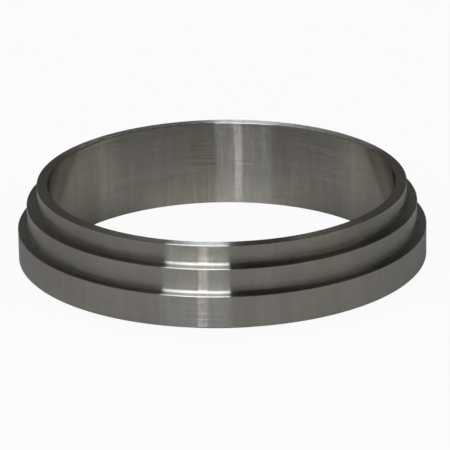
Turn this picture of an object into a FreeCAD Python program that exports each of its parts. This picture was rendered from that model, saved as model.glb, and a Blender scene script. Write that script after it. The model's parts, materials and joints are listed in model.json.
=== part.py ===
import FreeCAD, Part
import math
import os
import Sketcher

# Bevel seat weld ferrule for a 2.5 inch sanitary tube line: one ring turned from stainless bar.
# Frame: +Z up along the bore, origin on the bore axis in the plane of the seat's end land.
# The end land is the lowest face and the weld face of the tube end is the highest.

# Driving sizes in millimetres, with the seat angle in degrees from the plane of the end land
SIZES = {
    "bore_diameter": 59.7,
    "tube_end_wall": 1.9,
    "tube_end_height": 3.45,
    "hub_ledge_width": 1.8,
    "hub_height": 4.2,
    "collar_ledge_width": 1.6,
    "collar_height": 5.6,
    "seat_drop": 1.9,
    "seat_angle": 45.0,
    "end_land_width": 0.5,
    "ledge_fillet": 0.6,
    "ledge_rim_chamfer": 0.1,
    "weld_rim_chamfer": 0.1,
    "collar_foot_chamfer": 0.2,
    "bore_mouth_chamfer": 0.15,
}

STEP_FOLDER = "parts"
FILLET, CHAMFER = "PartDesign::Fillet", "PartDesign::Chamfer"
MATCH = 1e-4


def add_size_sheet(doc):
    """The driving sizes, one to a row, each under its own name."""
    sheet = doc.addObject("Spreadsheet::Sheet", "Sizes")
    for row, (name, value) in enumerate(SIZES.items(), start=1):
        sheet.set(f"A{row}", name)
        sheet.set(f"B{row}", str(value))
        sheet.setAlias(f"B{row}", name)
    doc.recompute()
    return sheet


def radius_axis():
    """The section's level axis, which lies in the plane of the end land."""
    return -1


def axes_cross():
    """The point of the section where the bore axis meets the level axis."""
    return radius_axis(), 1


def start_of(line):
    """The point of the section that a line starts from."""
    return line, 1


def end_of(line):
    """The point of the section that a line ends at."""
    return line, 2


class Levels:
    """Radii and heights of the ring's corners, from the sizes in the sheet."""

    def __init__(self, sheet):
        self.bore_radius = sheet.bore_diameter / 2
        self.land_radius = self.bore_radius + sheet.end_land_width
        seat_run = sheet.seat_drop / math.tan(math.radians(sheet.seat_angle))
        self.seat_root_radius = self.land_radius + seat_run
        self.tube_radius = self.bore_radius + sheet.tube_end_wall
        self.hub_radius = self.tube_radius + sheet.hub_ledge_width
        self.collar_radius = self.hub_radius + sheet.collar_ledge_width
        self.underside = sheet.seat_drop
        self.collar_ledge = self.underside + sheet.collar_height
        self.hub_ledge = self.collar_ledge + sheet.hub_height
        self.weld_face = self.hub_ledge + sheet.tube_end_height


def draw_half_section(body, sheet, at):
    """The ring's wall on one side of the bore axis, with radius across and height up."""
    sketch = body.newObject("Sketcher::SketchObject", "HalfSection")
    plane = next(item for item in body.Origin.OriginFeatures if item.Role == "XZ_Plane")
    sketch.AttachmentSupport = (plane, [""])
    sketch.MapMode = "FlatFace"

    # Corners from the foot of the bore, round the outside and back down the bore
    corners = [
        FreeCAD.Vector(at.bore_radius, 0),
        FreeCAD.Vector(at.land_radius, 0),
        FreeCAD.Vector(at.seat_root_radius, at.underside),
        FreeCAD.Vector(at.collar_radius, at.underside),
        FreeCAD.Vector(at.collar_radius, at.collar_ledge),
        FreeCAD.Vector(at.hub_radius, at.collar_ledge),
        FreeCAD.Vector(at.hub_radius, at.hub_ledge),
        FreeCAD.Vector(at.tube_radius, at.hub_ledge),
        FreeCAD.Vector(at.tube_radius, at.weld_face),
        FreeCAD.Vector(at.bore_radius, at.weld_face),
    ]
    lines = []
    for corner, next_corner in zip(corners, corners[1:] + corners[:1]):
        lines.append(sketch.addGeometry(Part.LineSegment(corner, next_corner), False))
    (end_land, seat, underside, collar, collar_ledge,
     hub, hub_ledge, tube_end, weld_face, bore) = lines

    for line, next_line in zip(lines, lines[1:] + lines[:1]):
        sketch.addConstraint(Sketcher.Constraint("Coincident", *end_of(line), *start_of(next_line)))
    for level in (end_land, underside, collar_ledge, hub_ledge, weld_face):
        sketch.addConstraint(Sketcher.Constraint("Horizontal", level))
    for wall in (collar, hub, tube_end, bore):
        sketch.addConstraint(Sketcher.Constraint("Vertical", wall))
    sketch.addConstraint(Sketcher.Constraint("PointOnObject", *start_of(end_land), radius_axis()))

    def drive(name, formula, kind, *where):
        """A dimension of the section that follows the sheet."""
        index = sketch.addConstraint(Sketcher.Constraint(kind, *where))
        sketch.renameConstraint(index, name)
        sketch.setExpression(f"Constraints.{name}", formula)

    def drive_run(name, kind, first, last):
        """How far a line runs, across or up, is the size of the same name."""
        drive(name, f"Sizes.{name}", kind, *first, *last, getattr(sheet, name))

    drive("bore_radius", "Sizes.bore_diameter / 2",
          "DistanceX", *axes_cross(), *start_of(end_land), at.bore_radius)
    drive("seat_angle", "Sizes.seat_angle", "Angle", seat, math.radians(sheet.seat_angle))
    drive_run("end_land_width", "DistanceX", start_of(end_land), end_of(end_land))
    drive_run("seat_drop", "DistanceY", start_of(seat), end_of(seat))
    drive_run("collar_height", "DistanceY", start_of(collar), end_of(collar))
    drive_run("collar_ledge_width", "DistanceX", end_of(collar_ledge), start_of(collar_ledge))
    drive_run("hub_height", "DistanceY", start_of(hub), end_of(hub))
    drive_run("hub_ledge_width", "DistanceX", end_of(hub_ledge), start_of(hub_ledge))
    drive_run("tube_end_height", "DistanceY", start_of(tube_end), end_of(tube_end))
    drive_run("tube_end_wall", "DistanceX", end_of(weld_face), start_of(weld_face))
    return sketch


def circle_names(shape, circles):
    """Names of the circular edges of a shape that have one of these radii and heights."""
    names = []
    for number, edge in enumerate(shape.Edges, start=1):
        if not isinstance(edge.Curve, Part.Circle):
            continue
        for radius, height in circles:
            same_radius = abs(edge.Curve.Radius - radius) < MATCH
            same_height = abs(edge.Curve.Center.z - height) < MATCH
            if same_radius and same_height:
                names.append(f"Edge{number}")
    if len(names) != len(circles):
        raise RuntimeError(f"found {len(names)} edges for {len(circles)} circles")
    return names


def dress(body, kind, name, base, circles, size):
    """A fillet or a chamfer on the named circles of the feature before it."""
    feature = body.newObject(kind, name)
    feature.Base = (base, circle_names(base.Shape, circles))
    side = "Radius" if kind == FILLET else "Size"
    feature.setExpression(side, f"Sizes.{size}")
    body.Document.recompute()
    return feature


def turn_ferrule(doc, sheet):
    """The whole ferrule: the half section turned once, then its corners eased."""
    body = doc.addObject("PartDesign::Body", "Ferrule")
    body.Label = "ferrule"
    body.Placement = FreeCAD.Placement()
    at = Levels(sheet)
    sketch = draw_half_section(body, sheet, at)

    ring = body.newObject("PartDesign::Revolution", "SteppedRing")
    ring.Profile = sketch
    ring.ReferenceAxis = (sketch, ["V_Axis"])
    ring.Angle = 360
    doc.recompute()

    # Radius left by the tool where each outside wall meets the ledge below it
    ledge_roots = [(at.tube_radius, at.hub_ledge), (at.hub_radius, at.collar_ledge)]
    fillets = dress(body, FILLET, "LedgeFillets", ring, ledge_roots, "ledge_fillet")

    # Sharp outer corners broken on the lathe, each a small bevel at 45 degrees
    ledge_rims = [(at.hub_radius, at.hub_ledge), (at.collar_radius, at.collar_ledge)]
    rims = dress(body, CHAMFER, "LedgeRimChamfers", fillets, ledge_rims, "ledge_rim_chamfer")
    weld_rim = [(at.tube_radius, at.weld_face)]
    tube_rim = dress(body, CHAMFER, "WeldRimChamfer", rims, weld_rim, "weld_rim_chamfer")
    collar_foot = [(at.collar_radius, at.underside)]
    foot = dress(body, CHAMFER, "CollarFootChamfer", tube_rim, collar_foot, "collar_foot_chamfer")
    bore_mouths = [(at.bore_radius, 0), (at.bore_radius, at.weld_face)]
    dress(body, CHAMFER, "BoreMouthChamfers", foot, bore_mouths, "bore_mouth_chamfer")
    return body


def check_document(doc, bodies):
    """Every object is up to date, and every sub-part is one sound solid."""
    for item in doc.Objects:
        if "Invalid" in item.State or "Error" in item.State:
            raise RuntimeError(f"{item.Name} failed: {item.State}")
    for body in bodies:
        if body.Shape.isNull() or not body.Shape.isValid() or len(body.Shape.Solids) != 1:
            raise RuntimeError(f"{body.Label} is not one sound solid")


def main():
    doc = FreeCAD.newDocument("BevelSeatFerrule")
    sheet = add_size_sheet(doc)
    bodies = [turn_ferrule(doc, sheet)]
    doc.recompute()
    check_document(doc, bodies)
    os.makedirs(STEP_FOLDER, exist_ok=True)
    for body in bodies:
        body.Shape.exportStep(f"{STEP_FOLDER}/{body.Label}.step")
        box = body.Shape.optimalBoundingBox()
        print(body.Label, "volume", round(body.Shape.Volume, 2), "mm3, box",
              [round(side, 3) for side in (box.XLength, box.YLength, box.ZLength)])


main()
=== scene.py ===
import json
import math

import bpy
from mathutils import Matrix, Vector


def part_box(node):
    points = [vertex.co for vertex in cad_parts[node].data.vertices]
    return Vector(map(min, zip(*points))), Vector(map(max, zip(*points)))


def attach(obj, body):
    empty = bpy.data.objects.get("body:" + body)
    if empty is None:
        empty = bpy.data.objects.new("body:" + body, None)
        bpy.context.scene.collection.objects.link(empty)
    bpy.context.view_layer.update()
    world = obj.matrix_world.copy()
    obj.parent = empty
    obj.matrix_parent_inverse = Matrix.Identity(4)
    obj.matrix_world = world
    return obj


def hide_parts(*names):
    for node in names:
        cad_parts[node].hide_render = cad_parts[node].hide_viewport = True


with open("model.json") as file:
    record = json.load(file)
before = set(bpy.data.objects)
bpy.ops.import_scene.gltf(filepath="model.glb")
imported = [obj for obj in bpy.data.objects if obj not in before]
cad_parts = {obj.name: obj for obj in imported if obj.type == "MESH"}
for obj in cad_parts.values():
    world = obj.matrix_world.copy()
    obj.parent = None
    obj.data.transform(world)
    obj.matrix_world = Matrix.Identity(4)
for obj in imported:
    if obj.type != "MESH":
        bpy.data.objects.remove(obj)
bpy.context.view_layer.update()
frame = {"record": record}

# Radii and heights of the turned ring, in metres, from the frame's own mounts and box
mounts = {mount["name"]: mount for mount in frame["record"]["mounts"]}
node_low, node_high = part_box("ferrule")

MM = 0.001
BORE_RADIUS = mounts["bore"]["dims"]["r_mm"] * MM
TUBE_RADIUS = mounts["tube_end"]["dims"]["r_mm"] * MM
HUB_RADIUS = mounts["nut_pilot"]["dims"]["r_mm"] * MM
COLLAR_RADIUS = node_high[0]
END_LAND = node_low[2]
WELD_FACE = node_high[2]
COLLAR_LEDGE = mounts["nut_shoulder"]["pos_m"][2]

# Sizes that the frame doesn't state, with the seat angle in degrees from the end land
TUBE_END_HEIGHT = 3.45 * MM
SEAT_DROP = 1.9 * MM
SEAT_ANGLE = 45.0
LAND_WIDTH = 0.5 * MM
LEDGE_FILLET = 0.6 * MM
LEDGE_RIM_CHAMFER = 0.1 * MM
WELD_RIM_CHAMFER = 0.1 * MM
COLLAR_FOOT_CHAMFER = 0.2 * MM

# Smaller than in the CAD, where it is 0.15 mm, because the far rim would shine too brightly
BORE_MOUTH_CHAMFER = 0.07 * MM

HUB_LEDGE = WELD_FACE - TUBE_END_HEIGHT
UNDERSIDE = END_LAND + SEAT_DROP
LAND_RADIUS = BORE_RADIUS + LAND_WIDTH
SEAT_ROOT_RADIUS = LAND_RADIUS + SEAT_DROP / math.tan(math.radians(SEAT_ANGLE))

# How finely the ring is turned, and which edges stay crisp
TURN_STEPS = 360
FILLET_STEPS = 8
CHAMFER_STEPS = 1
ROUND_PROFILE = 0.5
PLACE_TOLERANCE = 0.01 * MM
SMOOTH_ANGLE = 30.0
WIDE_FACE_WEIGHT = 100


def deselect_everything():
    """Nothing selected, so the next operator acts on its own piece alone."""
    for item in bpy.context.selected_objects:
        item.select_set(False)


# The ring

def extrude_ring(rise, spread):
    """The selected circle pulled out into a new one, higher by rise and wider by spread."""
    bpy.ops.mesh.extrude_region_move(TRANSFORM_OT_translate={"value": (0, 0, rise)})
    bpy.ops.transform.resize(value=(spread, spread, 1), center_override=(0, 0, 0))


def select_circle(piece, radius, height):
    """Selects the edges round the one circle at this radius and height."""
    bpy.ops.mesh.select_all(action="DESELECT")
    bpy.ops.object.mode_set(mode="OBJECT")
    mesh = piece.data
    on_circle = set()
    for vertex in mesh.vertices:
        off_radius = abs(math.hypot(vertex.co.x, vertex.co.y) - radius)
        off_height = abs(vertex.co.z - height)
        if off_radius < PLACE_TOLERANCE and off_height < PLACE_TOLERANCE:
            on_circle.add(vertex.index)
    for edge in mesh.edges:
        edge.select = edge.vertices[0] in on_circle and edge.vertices[1] in on_circle
    bpy.ops.object.mode_set(mode="EDIT")
    bpy.ops.mesh.select_mode(type="EDGE")


def ease_circle(piece, radius, height, size, steps):
    """Bevels one corner circle of the ring: one step cuts a chamfer, more turn a fillet."""
    select_circle(piece, radius, height)
    bpy.ops.mesh.bevel(
        offset=size, segments=steps, profile=ROUND_PROFILE, affect="EDGES", clamp_overlap=False)


def turn_ring():
    """The ferrule, walked up the bore and back down the outside as one closed skin."""
    deselect_everything()
    walk = [
        (BORE_RADIUS, END_LAND),
        (BORE_RADIUS, WELD_FACE),
        (TUBE_RADIUS, WELD_FACE),
        (TUBE_RADIUS, HUB_LEDGE),
        (HUB_RADIUS, HUB_LEDGE),
        (HUB_RADIUS, COLLAR_LEDGE),
        (COLLAR_RADIUS, COLLAR_LEDGE),
        (COLLAR_RADIUS, UNDERSIDE),
        (SEAT_ROOT_RADIUS, UNDERSIDE),
        (LAND_RADIUS, END_LAND),
        (BORE_RADIUS, END_LAND),
    ]
    start_radius, start_height = walk[0]
    bpy.ops.mesh.primitive_circle_add(
        vertices=TURN_STEPS, radius=start_radius, location=(0, 0, start_height), rotation=(0, 0, 0))
    ring = bpy.context.object
    ring.name = "turned_ring"
    bpy.ops.object.transform_apply(location=True, rotation=True, scale=True)
    bpy.ops.object.mode_set(mode="EDIT")
    bpy.ops.mesh.select_all(action="SELECT")
    for (radius, height), (next_radius, next_height) in zip(walk, walk[1:]):
        extrude_ring(next_height - height, next_radius / radius)
    bpy.ops.mesh.select_all(action="SELECT")
    bpy.ops.mesh.remove_doubles(threshold=PLACE_TOLERANCE)
    bpy.ops.mesh.normals_make_consistent(inside=False)

    ease_circle(ring, TUBE_RADIUS, HUB_LEDGE, LEDGE_FILLET, FILLET_STEPS)
    ease_circle(ring, HUB_RADIUS, COLLAR_LEDGE, LEDGE_FILLET, FILLET_STEPS)
    ease_circle(ring, HUB_RADIUS, HUB_LEDGE, LEDGE_RIM_CHAMFER, CHAMFER_STEPS)
    ease_circle(ring, COLLAR_RADIUS, COLLAR_LEDGE, LEDGE_RIM_CHAMFER, CHAMFER_STEPS)
    ease_circle(ring, TUBE_RADIUS, WELD_FACE, WELD_RIM_CHAMFER, CHAMFER_STEPS)
    ease_circle(ring, COLLAR_RADIUS, UNDERSIDE, COLLAR_FOOT_CHAMFER, CHAMFER_STEPS)
    ease_circle(ring, BORE_RADIUS, WELD_FACE, BORE_MOUTH_CHAMFER, CHAMFER_STEPS)
    ease_circle(ring, BORE_RADIUS, END_LAND, BORE_MOUTH_CHAMFER, CHAMFER_STEPS)

    bpy.ops.mesh.select_all(action="SELECT")
    bpy.ops.mesh.normals_make_consistent(inside=False)
    bpy.ops.object.mode_set(mode="OBJECT")
    bpy.ops.object.shade_smooth_by_angle(angle=math.radians(SMOOTH_ANGLE))
    even = ring.modifiers.new("wall_normals", "WEIGHTED_NORMAL")
    even.keep_sharp = True
    even.weight = WIDE_FACE_WEIGHT
    bpy.ops.object.modifier_apply(modifier=even.name)
    return ring


# Materials in general

class Nodes:
    """The nodes of one material or of the world, added and linked in short steps."""

    def __init__(self, owner):
        owner.use_nodes = True
        self.tree = owner.node_tree
        self.tree.nodes.clear()

    def feed(self, socket, value):
        """The socket takes a link from another socket, or else a fixed value."""
        if isinstance(value, bpy.types.NodeSocket):
            self.tree.links.new(value, socket)
        else:
            socket.default_value = value

    def add(self, kind, sockets=None, **settings):
        """A new node with these settings, and with what each named socket takes."""
        node = self.tree.nodes.new(kind)
        for name, value in settings.items():
            setattr(node, name, value)
        for name, value in (sockets or {}).items():
            self.feed(node.inputs[name], value)
        return node

    def maths(self, operation, *values):
        """One sum on numbers."""
        node = self.add("ShaderNodeMath", operation=operation)
        for socket, value in zip(node.inputs, values):
            self.feed(socket, value)
        return node.outputs["Value"]

    def vector(self, operation, *vectors, **named):
        """One sum on vectors, which gives a number for a length or a distance, and else a vector."""
        node = self.add("ShaderNodeVectorMath", named, operation=operation)
        for socket, value in zip(node.inputs, vectors):
            self.feed(socket, value)
        return node.outputs["Value" if operation in ("LENGTH", "DISTANCE") else "Vector"]

    def split(self, vector):
        """The vector's own X, Y and Z."""
        return self.add("ShaderNodeSeparateXYZ", {"Vector": vector}).outputs

    def remap(self, value, start, end, low, high, shape="LINEAR"):
        """Goes from low to high while the value goes from start to end, and stays level past them."""
        sockets = {"Value": value, "From Min": start, "From Max": end, "To Min": low, "To Max": high}
        return self.add("ShaderNodeMapRange", sockets, interpolation_type=shape).outputs["Result"]

    def swing(self, noise, width, middle=0.0):
        """The noise, spread this wide about this middle."""
        return self.maths("MULTIPLY_ADD", noise, width, middle - width / 2)

    def blend_colours(self, share, first, second):
        """The first colour, with this share of the second."""
        node = self.add("ShaderNodeMix", {"Factor": share}, data_type="RGBA", blend_type="MIX")
        colour_sockets = [socket for socket in node.inputs if socket.type == "RGBA"]
        for socket, colour in zip(colour_sockets, (first, second)):
            self.feed(socket, (*colour, 1))
        return next(socket for socket in node.outputs if socket.type == "RGBA")

    def blend_surfaces(self, share, first, second):
        """The first surface, with this share of the second."""
        node = self.add("ShaderNodeMixShader", {"Fac": share})
        surface_sockets = [socket for socket in node.inputs if socket.type == "SHADER"]
        for socket, surface in zip(surface_sockets, (first, second)):
            self.feed(socket, surface)
        return node.outputs["Shader"]


def paint(piece, material):
    """Every material slot of the piece takes this finish."""
    piece.data.materials.clear()
    piece.data.materials.append(material)


# The steel and its turned finish

STEEL = (0.472, 0.447, 0.389)
STEEL_OLIVE = (0.460, 0.441, 0.342)
STEEL_GRAZING = (1.0, 1.0, 1.0)
ROUGHNESS = 0.14
STRETCHED_FULLY = 1.0
QUARTER_TURN = 0.25

# Patterns: changes per radian round the ring and per metre across its walls, then finer layers
TOOL_MARKS = {"around": 2.5, "across": 12.0 / MM, "detail": 4.0, "roughness": 0.6}
LEANS = {"around": 2.5, "across": 400.0 / MM, "detail": 1.0}
BANDS = {"around": 1.5, "across": 1.6 / MM, "detail": 2.0}
OLIVE_CLOUD = {"around": 2.2, "across": 0.05 / MM, "detail": 2.0}
CHATTER = {"around": 55.0, "across": 0.12 / MM, "detail": 3.0, "roughness": 0.6}

# How far each pattern swings the shade, the roughness or the lean of the face
TOOL_MARK_SHADE = 0.05
CHATTER_SHADE = 0.46
BAND_SHADE = 0.015
BAND_ROUGHNESS = 0.01
CHATTER_ROUGHNESS = 0.03
MARK_LEAN = 2.3
OLIVE_STARTS = 0.50
OLIVE_FULL = 0.70


def satin_turned_steel():
    """Stainless steel with fine circular tool marks, which stretch each highlight across them."""
    material = bpy.data.materials.new("satin_turned_steel")
    nodes = Nodes(material)

    # Place on the ring: the height, the radius, and the way out from the axis
    place = nodes.add("ShaderNodeTexCoord").outputs["Object"]
    level = nodes.vector("MULTIPLY", place, (1, 1, 0))
    radius = nodes.vector("LENGTH", level)
    outward = nodes.split(nodes.vector("NORMALIZE", level))
    height = nodes.split(place)["Z"]

    def grain(around, across, detail, roughness=0.5):
        """Noise that follows the ring round, with its height as a fourth dimension."""
        where = nodes.add("ShaderNodeCombineXYZ", {
            "X": nodes.maths("MULTIPLY", outward["X"], around),
            "Y": nodes.maths("MULTIPLY", outward["Y"], around),
            "Z": nodes.maths("MULTIPLY", radius, across),
        })
        sockets = {
            "Vector": where.outputs["Vector"],
            "W": nodes.maths("MULTIPLY", height, across),
            "Scale": 1.0,
            "Detail": detail,
            "Roughness": roughness,
        }
        return nodes.add("ShaderNodeTexNoise", sockets, noise_dimensions="4D").outputs["Fac"]

    tool_marks = grain(**TOOL_MARKS)
    leans = grain(**LEANS)
    bands = grain(**BANDS)
    cloud = grain(**OLIVE_CLOUD)
    chatter = grain(**CHATTER)

    olive = nodes.remap(cloud, OLIVE_STARTS, OLIVE_FULL, 0.0, 1.0)
    tone = nodes.blend_colours(olive, STEEL, STEEL_OLIVE)
    shade = nodes.swing(tool_marks, TOOL_MARK_SHADE, 1.0)
    shade = nodes.maths("MULTIPLY", shade, nodes.swing(chatter, CHATTER_SHADE, 1.0))
    shade = nodes.maths("MULTIPLY", shade, nodes.swing(bands, BAND_SHADE, 1.0))
    rough = nodes.swing(bands, BAND_ROUGHNESS, ROUGHNESS)
    rough = nodes.maths("ADD", rough, nodes.swing(chatter, CHATTER_ROUGHNESS))

    # Each mark leans the face a little up or down across the marks, and never along them
    along_marks = nodes.add("ShaderNodeTangent", direction_type="RADIAL", axis="Z").outputs["Tangent"]
    face = nodes.add("ShaderNodeNewGeometry").outputs["Normal"]
    across_marks = nodes.vector("CROSS_PRODUCT", face, along_marks)
    lean = nodes.vector("SCALE", across_marks, Scale=nodes.swing(leans, MARK_LEAN))
    leant_face = nodes.vector("NORMALIZE", nodes.vector("ADD", face, lean))

    steel = nodes.add("ShaderNodeBsdfPrincipled", {
        "Base Color": nodes.vector("SCALE", tone, Scale=shade),
        "Metallic": 1.0,
        "Roughness": rough,
        "Specular Tint": (*STEEL_GRAZING, 1),
        "Anisotropic": STRETCHED_FULLY,
        "Anisotropic Rotation": QUARTER_TURN,
        "Tangent": along_marks,
        "Normal": leant_face,
    })
    nodes.add("ShaderNodeOutputMaterial", {"Surface": steel.outputs["BSDF"]})
    return material


# The camera's place, which the cards are set out from

CAMERA_DISTANCE = 19.109 * COLLAR_RADIUS
CAMERA_AZIMUTH = -90.0
CAMERA_ELEVATION = 20.972
CAMERA_YAW = 0.041
CAMERA_PITCH = 0.396
CAMERA_ROLL = -0.856
IMAGE_WIDTH = 450
FOCAL_PIXELS = 3887.0
SENSOR_WIDTH = 36.0
NEAREST_SEEN = 0.01
FARTHEST_SEEN = 20


def direction(azimuth, elevation):
    """Unit vector out from the ring. Azimuth turns from +X towards +Y, in degrees."""
    a, e = math.radians(azimuth), math.radians(elevation)
    return Vector((math.cos(a) * math.cos(e), math.sin(a) * math.cos(e), math.sin(e)))


def mirrored(azimuth, tilt):
    """Where the camera's view goes from a face of the ring at this azimuth, raised by this tilt."""
    view = direction(CAMERA_AZIMUTH, CAMERA_ELEVATION)
    face = direction(azimuth, tilt)
    return 2 * face.dot(view) * face - view


# The cards that the ring mirrors

CARD_DISTANCE = 1.6
CARD_COLUMNS = 8
CARD_ROWS = 16
BANK_COLOUR = (0.912, 0.985, 1.18)
BANK_LEVELS = ((0.0, 1.5), (0.08, 2.0), (0.38, 2.75), (0.85, 2.7), (1.0, 2.1))
FLAG_COLOUR = (1.0, 1.0, 1.0)
FLAG_LEVELS = ((0.0, 0.04), (0.4, 0.05), (1.0, 0.09))


def card_material(name, colour, levels):
    """Glows in one colour, at levels given as (share of the way across, strength)."""
    material = bpy.data.materials.new(name)
    nodes = Nodes(material)
    across = nodes.split(nodes.add("ShaderNodeUVMap").outputs["UV"])["X"]
    curve = nodes.add("ShaderNodeFloatCurve", {"Value": across})
    strongest = max(strength for share, strength in levels)
    points = curve.mapping.curves[0].points
    for point, (share, strength) in zip(points, (levels[0], levels[-1])):
        point.location = (share, strength / strongest)
    for share, strength in levels[1:-1]:
        points.new(share, strength / strongest)
    for point in points:
        point.handle_type = "VECTOR"
    curve.mapping.update()
    strength = nodes.maths("MULTIPLY", curve.outputs["Value"], strongest)
    glow = nodes.add("ShaderNodeEmission", {"Color": (*colour, 1), "Strength": strength})
    nodes.add("ShaderNodeOutputMaterial", {"Surface": glow.outputs["Emission"]})
    return material


def hang_card(name, azimuths, tilts, material):
    """A curved card that faces of the ring within these azimuths and tilts mirror, and no others."""
    deselect_everything()
    bpy.ops.mesh.primitive_grid_add(
        x_subdivisions=CARD_COLUMNS, y_subdivisions=CARD_ROWS, size=1, location=(0, 0, 0))
    card = bpy.context.object
    card.name = name
    for vertex in card.data.vertices:
        # The flat grid is one unit wide round the origin
        across, along = vertex.co.x + 0.5, vertex.co.y + 0.5
        azimuth = azimuths[0] + (azimuths[1] - azimuths[0]) * across
        tilt = tilts[0] + (tilts[1] - tilts[0]) * along
        vertex.co = mirrored(azimuth, tilt) * CARD_DISTANCE
    paint(card, material)


# The floor

FLOOR_REACH = 4.0
FLOOR_CORNERS = 64
FLOOR_COLOUR = (0.73, 0.69, 0.62)
FLOOR_WHITE_TO_CAMERA = 0.95

# Painted shade: the matt floor's colour is darker under and behind the ring, and paler again well off
# it
FULL_TONE_UNTIL = -1.25 * BORE_RADIUS
DARKEST_FROM = 0.1 * BORE_RADIUS
DARKEST_PAINTED_SHADE = 0.5
PALER_FROM = 1.2 * COLLAR_RADIUS
PALE_BY = 1.7 * COLLAR_RADIUS
PALE_TONE = 0.88

# A painted pool of light on the floor at the far foot of the bore, which shows in the steel alone
PAINTED_POOL_REACH = 0.78 * BORE_RADIUS
PAINTED_POOL_WHITE = 0.45
PAST_PAINTED_POOL_WHITE = 0.02


def pale_floor_with_painted_light():
    """A matt floor that the camera sees as nearly white, with a shadow, with painted shade in its
    colour under and behind the ring, and with a painted pool of light that the steel alone mirrors.
    """
    material = bpy.data.materials.new("pale_floor")
    nodes = Nodes(material)
    place = nodes.add("ShaderNodeTexCoord").outputs["Object"]

    # Painted shade in the floor's colour, darkest under and behind the ring
    behind = nodes.remap(nodes.split(place)["Y"], FULL_TONE_UNTIL, DARKEST_FROM, 1.0, DARKEST_PAINTED_SHADE)
    off_axis = nodes.vector("LENGTH", place)
    beside = nodes.remap(off_axis, PALER_FROM, PALE_BY, DARKEST_PAINTED_SHADE, PALE_TONE)
    tone = nodes.vector("SCALE", FLOOR_COLOUR, Scale=nodes.maths("MAXIMUM", behind, beside))
    matt = nodes.add("ShaderNodeBsdfDiffuse", {"Color": tone})

    # Painted light: a white pool on the floor at the far foot of the bore, seen only by the rays that
    # the steel mirrors
    off_pool = nodes.vector("DISTANCE", place, (0, BORE_RADIUS, 0))
    pool = nodes.remap(off_pool, 0, PAINTED_POOL_REACH, PAINTED_POOL_WHITE, PAST_PAINTED_POOL_WHITE, "SMOOTHSTEP")
    rays = nodes.add("ShaderNodeLightPath").outputs
    in_steel = nodes.maths("MAXIMUM", rays["Is Glossy Ray"], rays["Is Transmission Ray"])
    painted_light_in_steel = nodes.maths("MULTIPLY", in_steel, pool)
    white_to_camera = nodes.maths("MULTIPLY", rays["Is Camera Ray"], FLOOR_WHITE_TO_CAMERA)
    white_share = nodes.maths("MAXIMUM", painted_light_in_steel, white_to_camera)
    white = nodes.add("ShaderNodeEmission", {"Color": (1, 1, 1, 1), "Strength": 1.0})
    surface = nodes.blend_surfaces(white_share, matt.outputs["BSDF"], white.outputs["Emission"])
    nodes.add("ShaderNodeOutputMaterial", {"Surface": surface})
    return material


def lay_floor():
    """A plain pale floor under the ring."""
    deselect_everything()
    bpy.ops.mesh.primitive_circle_add(
        vertices=FLOOR_CORNERS, radius=FLOOR_REACH, fill_type="NGON", location=(0, 0, 0))
    floor = bpy.context.object
    floor.name = "floor"
    paint(floor, pale_floor_with_painted_light())


# The lights and the room

ROOM_BELOW = 0.035
ROOM_WALL = 0.095
ROOM_CEILING = 0.15
ROOM_WALL_RISE = 0.35
ROOM_CENTRE_LEFT = 0.2
ROOM_DIMS_FROM = 0.3
ROOM_DIM_BY = 0.9
ROOM_SIDE_STRENGTH = 0.35


def hang_light(name, azimuth, elevation, distance, width, height, radiance, colour=(1, 1, 1)):
    """A rectangular soft light that faces the ring, with its width level."""
    lamp = bpy.data.lights.new(name, "AREA")
    lamp.shape = "RECTANGLE"
    lamp.size = width
    lamp.size_y = height
    lamp.energy = radiance * math.pi * width * height
    lamp.color = colour
    item = bpy.data.objects.new(name, lamp)
    bpy.context.collection.objects.link(item)
    out = direction(azimuth, elevation)
    item.location = out * distance
    item.rotation_mode = "QUATERNION"
    item.rotation_quaternion = (-out).to_track_quat("-Z", "Y")


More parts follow.
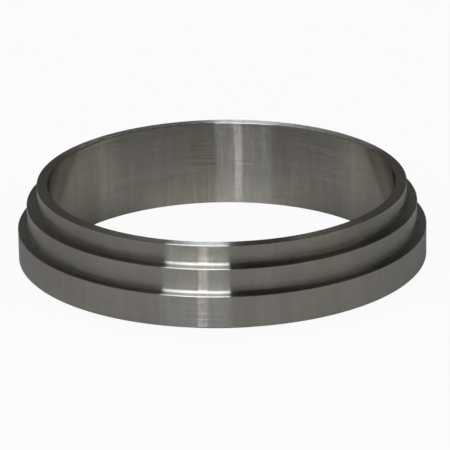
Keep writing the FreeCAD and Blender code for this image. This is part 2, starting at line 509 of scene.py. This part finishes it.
def shade_room():
    """A dim room, darkest below the floor's level and off to both sides, and palest overhead."""
    world = bpy.data.worlds.new("studio")
    bpy.context.scene.world = world
    nodes = Nodes(world)
    way = nodes.split(nodes.add("ShaderNodeTexCoord").outputs["Generated"])
    ramp = nodes.add("ShaderNodeValToRGB", {"Fac": way["Z"]})
    below, ceiling = ramp.color_ramp.elements
    below.color = (ROOM_BELOW, ROOM_BELOW, ROOM_BELOW, 1)
    ceiling.color = (ROOM_CEILING, ROOM_CEILING, ROOM_CEILING, 1)
    wall = ramp.color_ramp.elements.new(ROOM_WALL_RISE)
    wall.color = (ROOM_WALL, ROOM_WALL, ROOM_WALL, 1)
    sideways = nodes.maths("ABSOLUTE", nodes.maths("ADD", way["X"], ROOM_CENTRE_LEFT))
    strength = nodes.remap(sideways, ROOM_DIMS_FROM, ROOM_DIM_BY, 1.0, ROOM_SIDE_STRENGTH)
    sockets = {"Color": ramp.outputs["Color"], "Strength": strength}
    background = nodes.add("ShaderNodeBackground", sockets)
    nodes.add("ShaderNodeOutputWorld", {"Surface": background.outputs["Background"]})


def light_room():
    """A bright bank and a dark flag beside it, a narrow strip, and two faint glows in a dim room."""
    hang_card("light_bank", azimuths=(-107.5, -88.1), tilts=(21, 88),
              material=card_material("bank_light", BANK_COLOUR, BANK_LEVELS))
    hang_card("dark_flag", azimuths=(-87.9, -62), tilts=(12, 88),
              material=card_material("dark_card", FLAG_COLOUR, FLAG_LEVELS))
    hang_light("strip", azimuth=-101.4, elevation=30, distance=1.6,
               width=0.14, height=1.1, radiance=5.6, colour=(0.99, 0.94, 1.07))
    hang_light("side_panel", azimuth=-12, elevation=35, distance=2.2,
               width=1.8, height=1.2, radiance=0.10)
    hang_light("back_glow", azimuth=90, elevation=46, distance=2.2,
               width=0.7, height=1.2, radiance=0.35)
    shade_room()


# The camera

def place_camera():
    """The photograph's view: well above the ring, far off and with a long lens."""
    lens = bpy.data.cameras.new("camera")
    lens.sensor_width = SENSOR_WIDTH
    lens.lens = FOCAL_PIXELS / IMAGE_WIDTH * SENSOR_WIDTH
    lens.clip_start = NEAREST_SEEN
    lens.clip_end = FARTHEST_SEEN
    camera = bpy.data.objects.new("camera", lens)
    bpy.context.collection.objects.link(camera)
    upright = math.radians(90 - CAMERA_ELEVATION)
    turn = (Matrix.Rotation(upright, 4, "X")
            @ Matrix.Rotation(-math.radians(CAMERA_YAW), 4, "Y")
            @ Matrix.Rotation(math.radians(CAMERA_PITCH), 4, "X")
            @ Matrix.Rotation(math.radians(CAMERA_ROLL), 4, "Z"))
    eye = direction(CAMERA_AZIMUTH, CAMERA_ELEVATION) * CAMERA_DISTANCE + Vector((0, 0, UNDERSIDE))
    camera.matrix_world = Matrix.Translation(eye) @ turn
    bpy.context.scene.camera = camera


ring = turn_ring()
paint(ring, satin_turned_steel())
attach(ring, "root")
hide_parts("ferrule")
lay_floor()
light_room()
place_camera()
bpy.context.scene.view_settings.view_transform = "Standard"
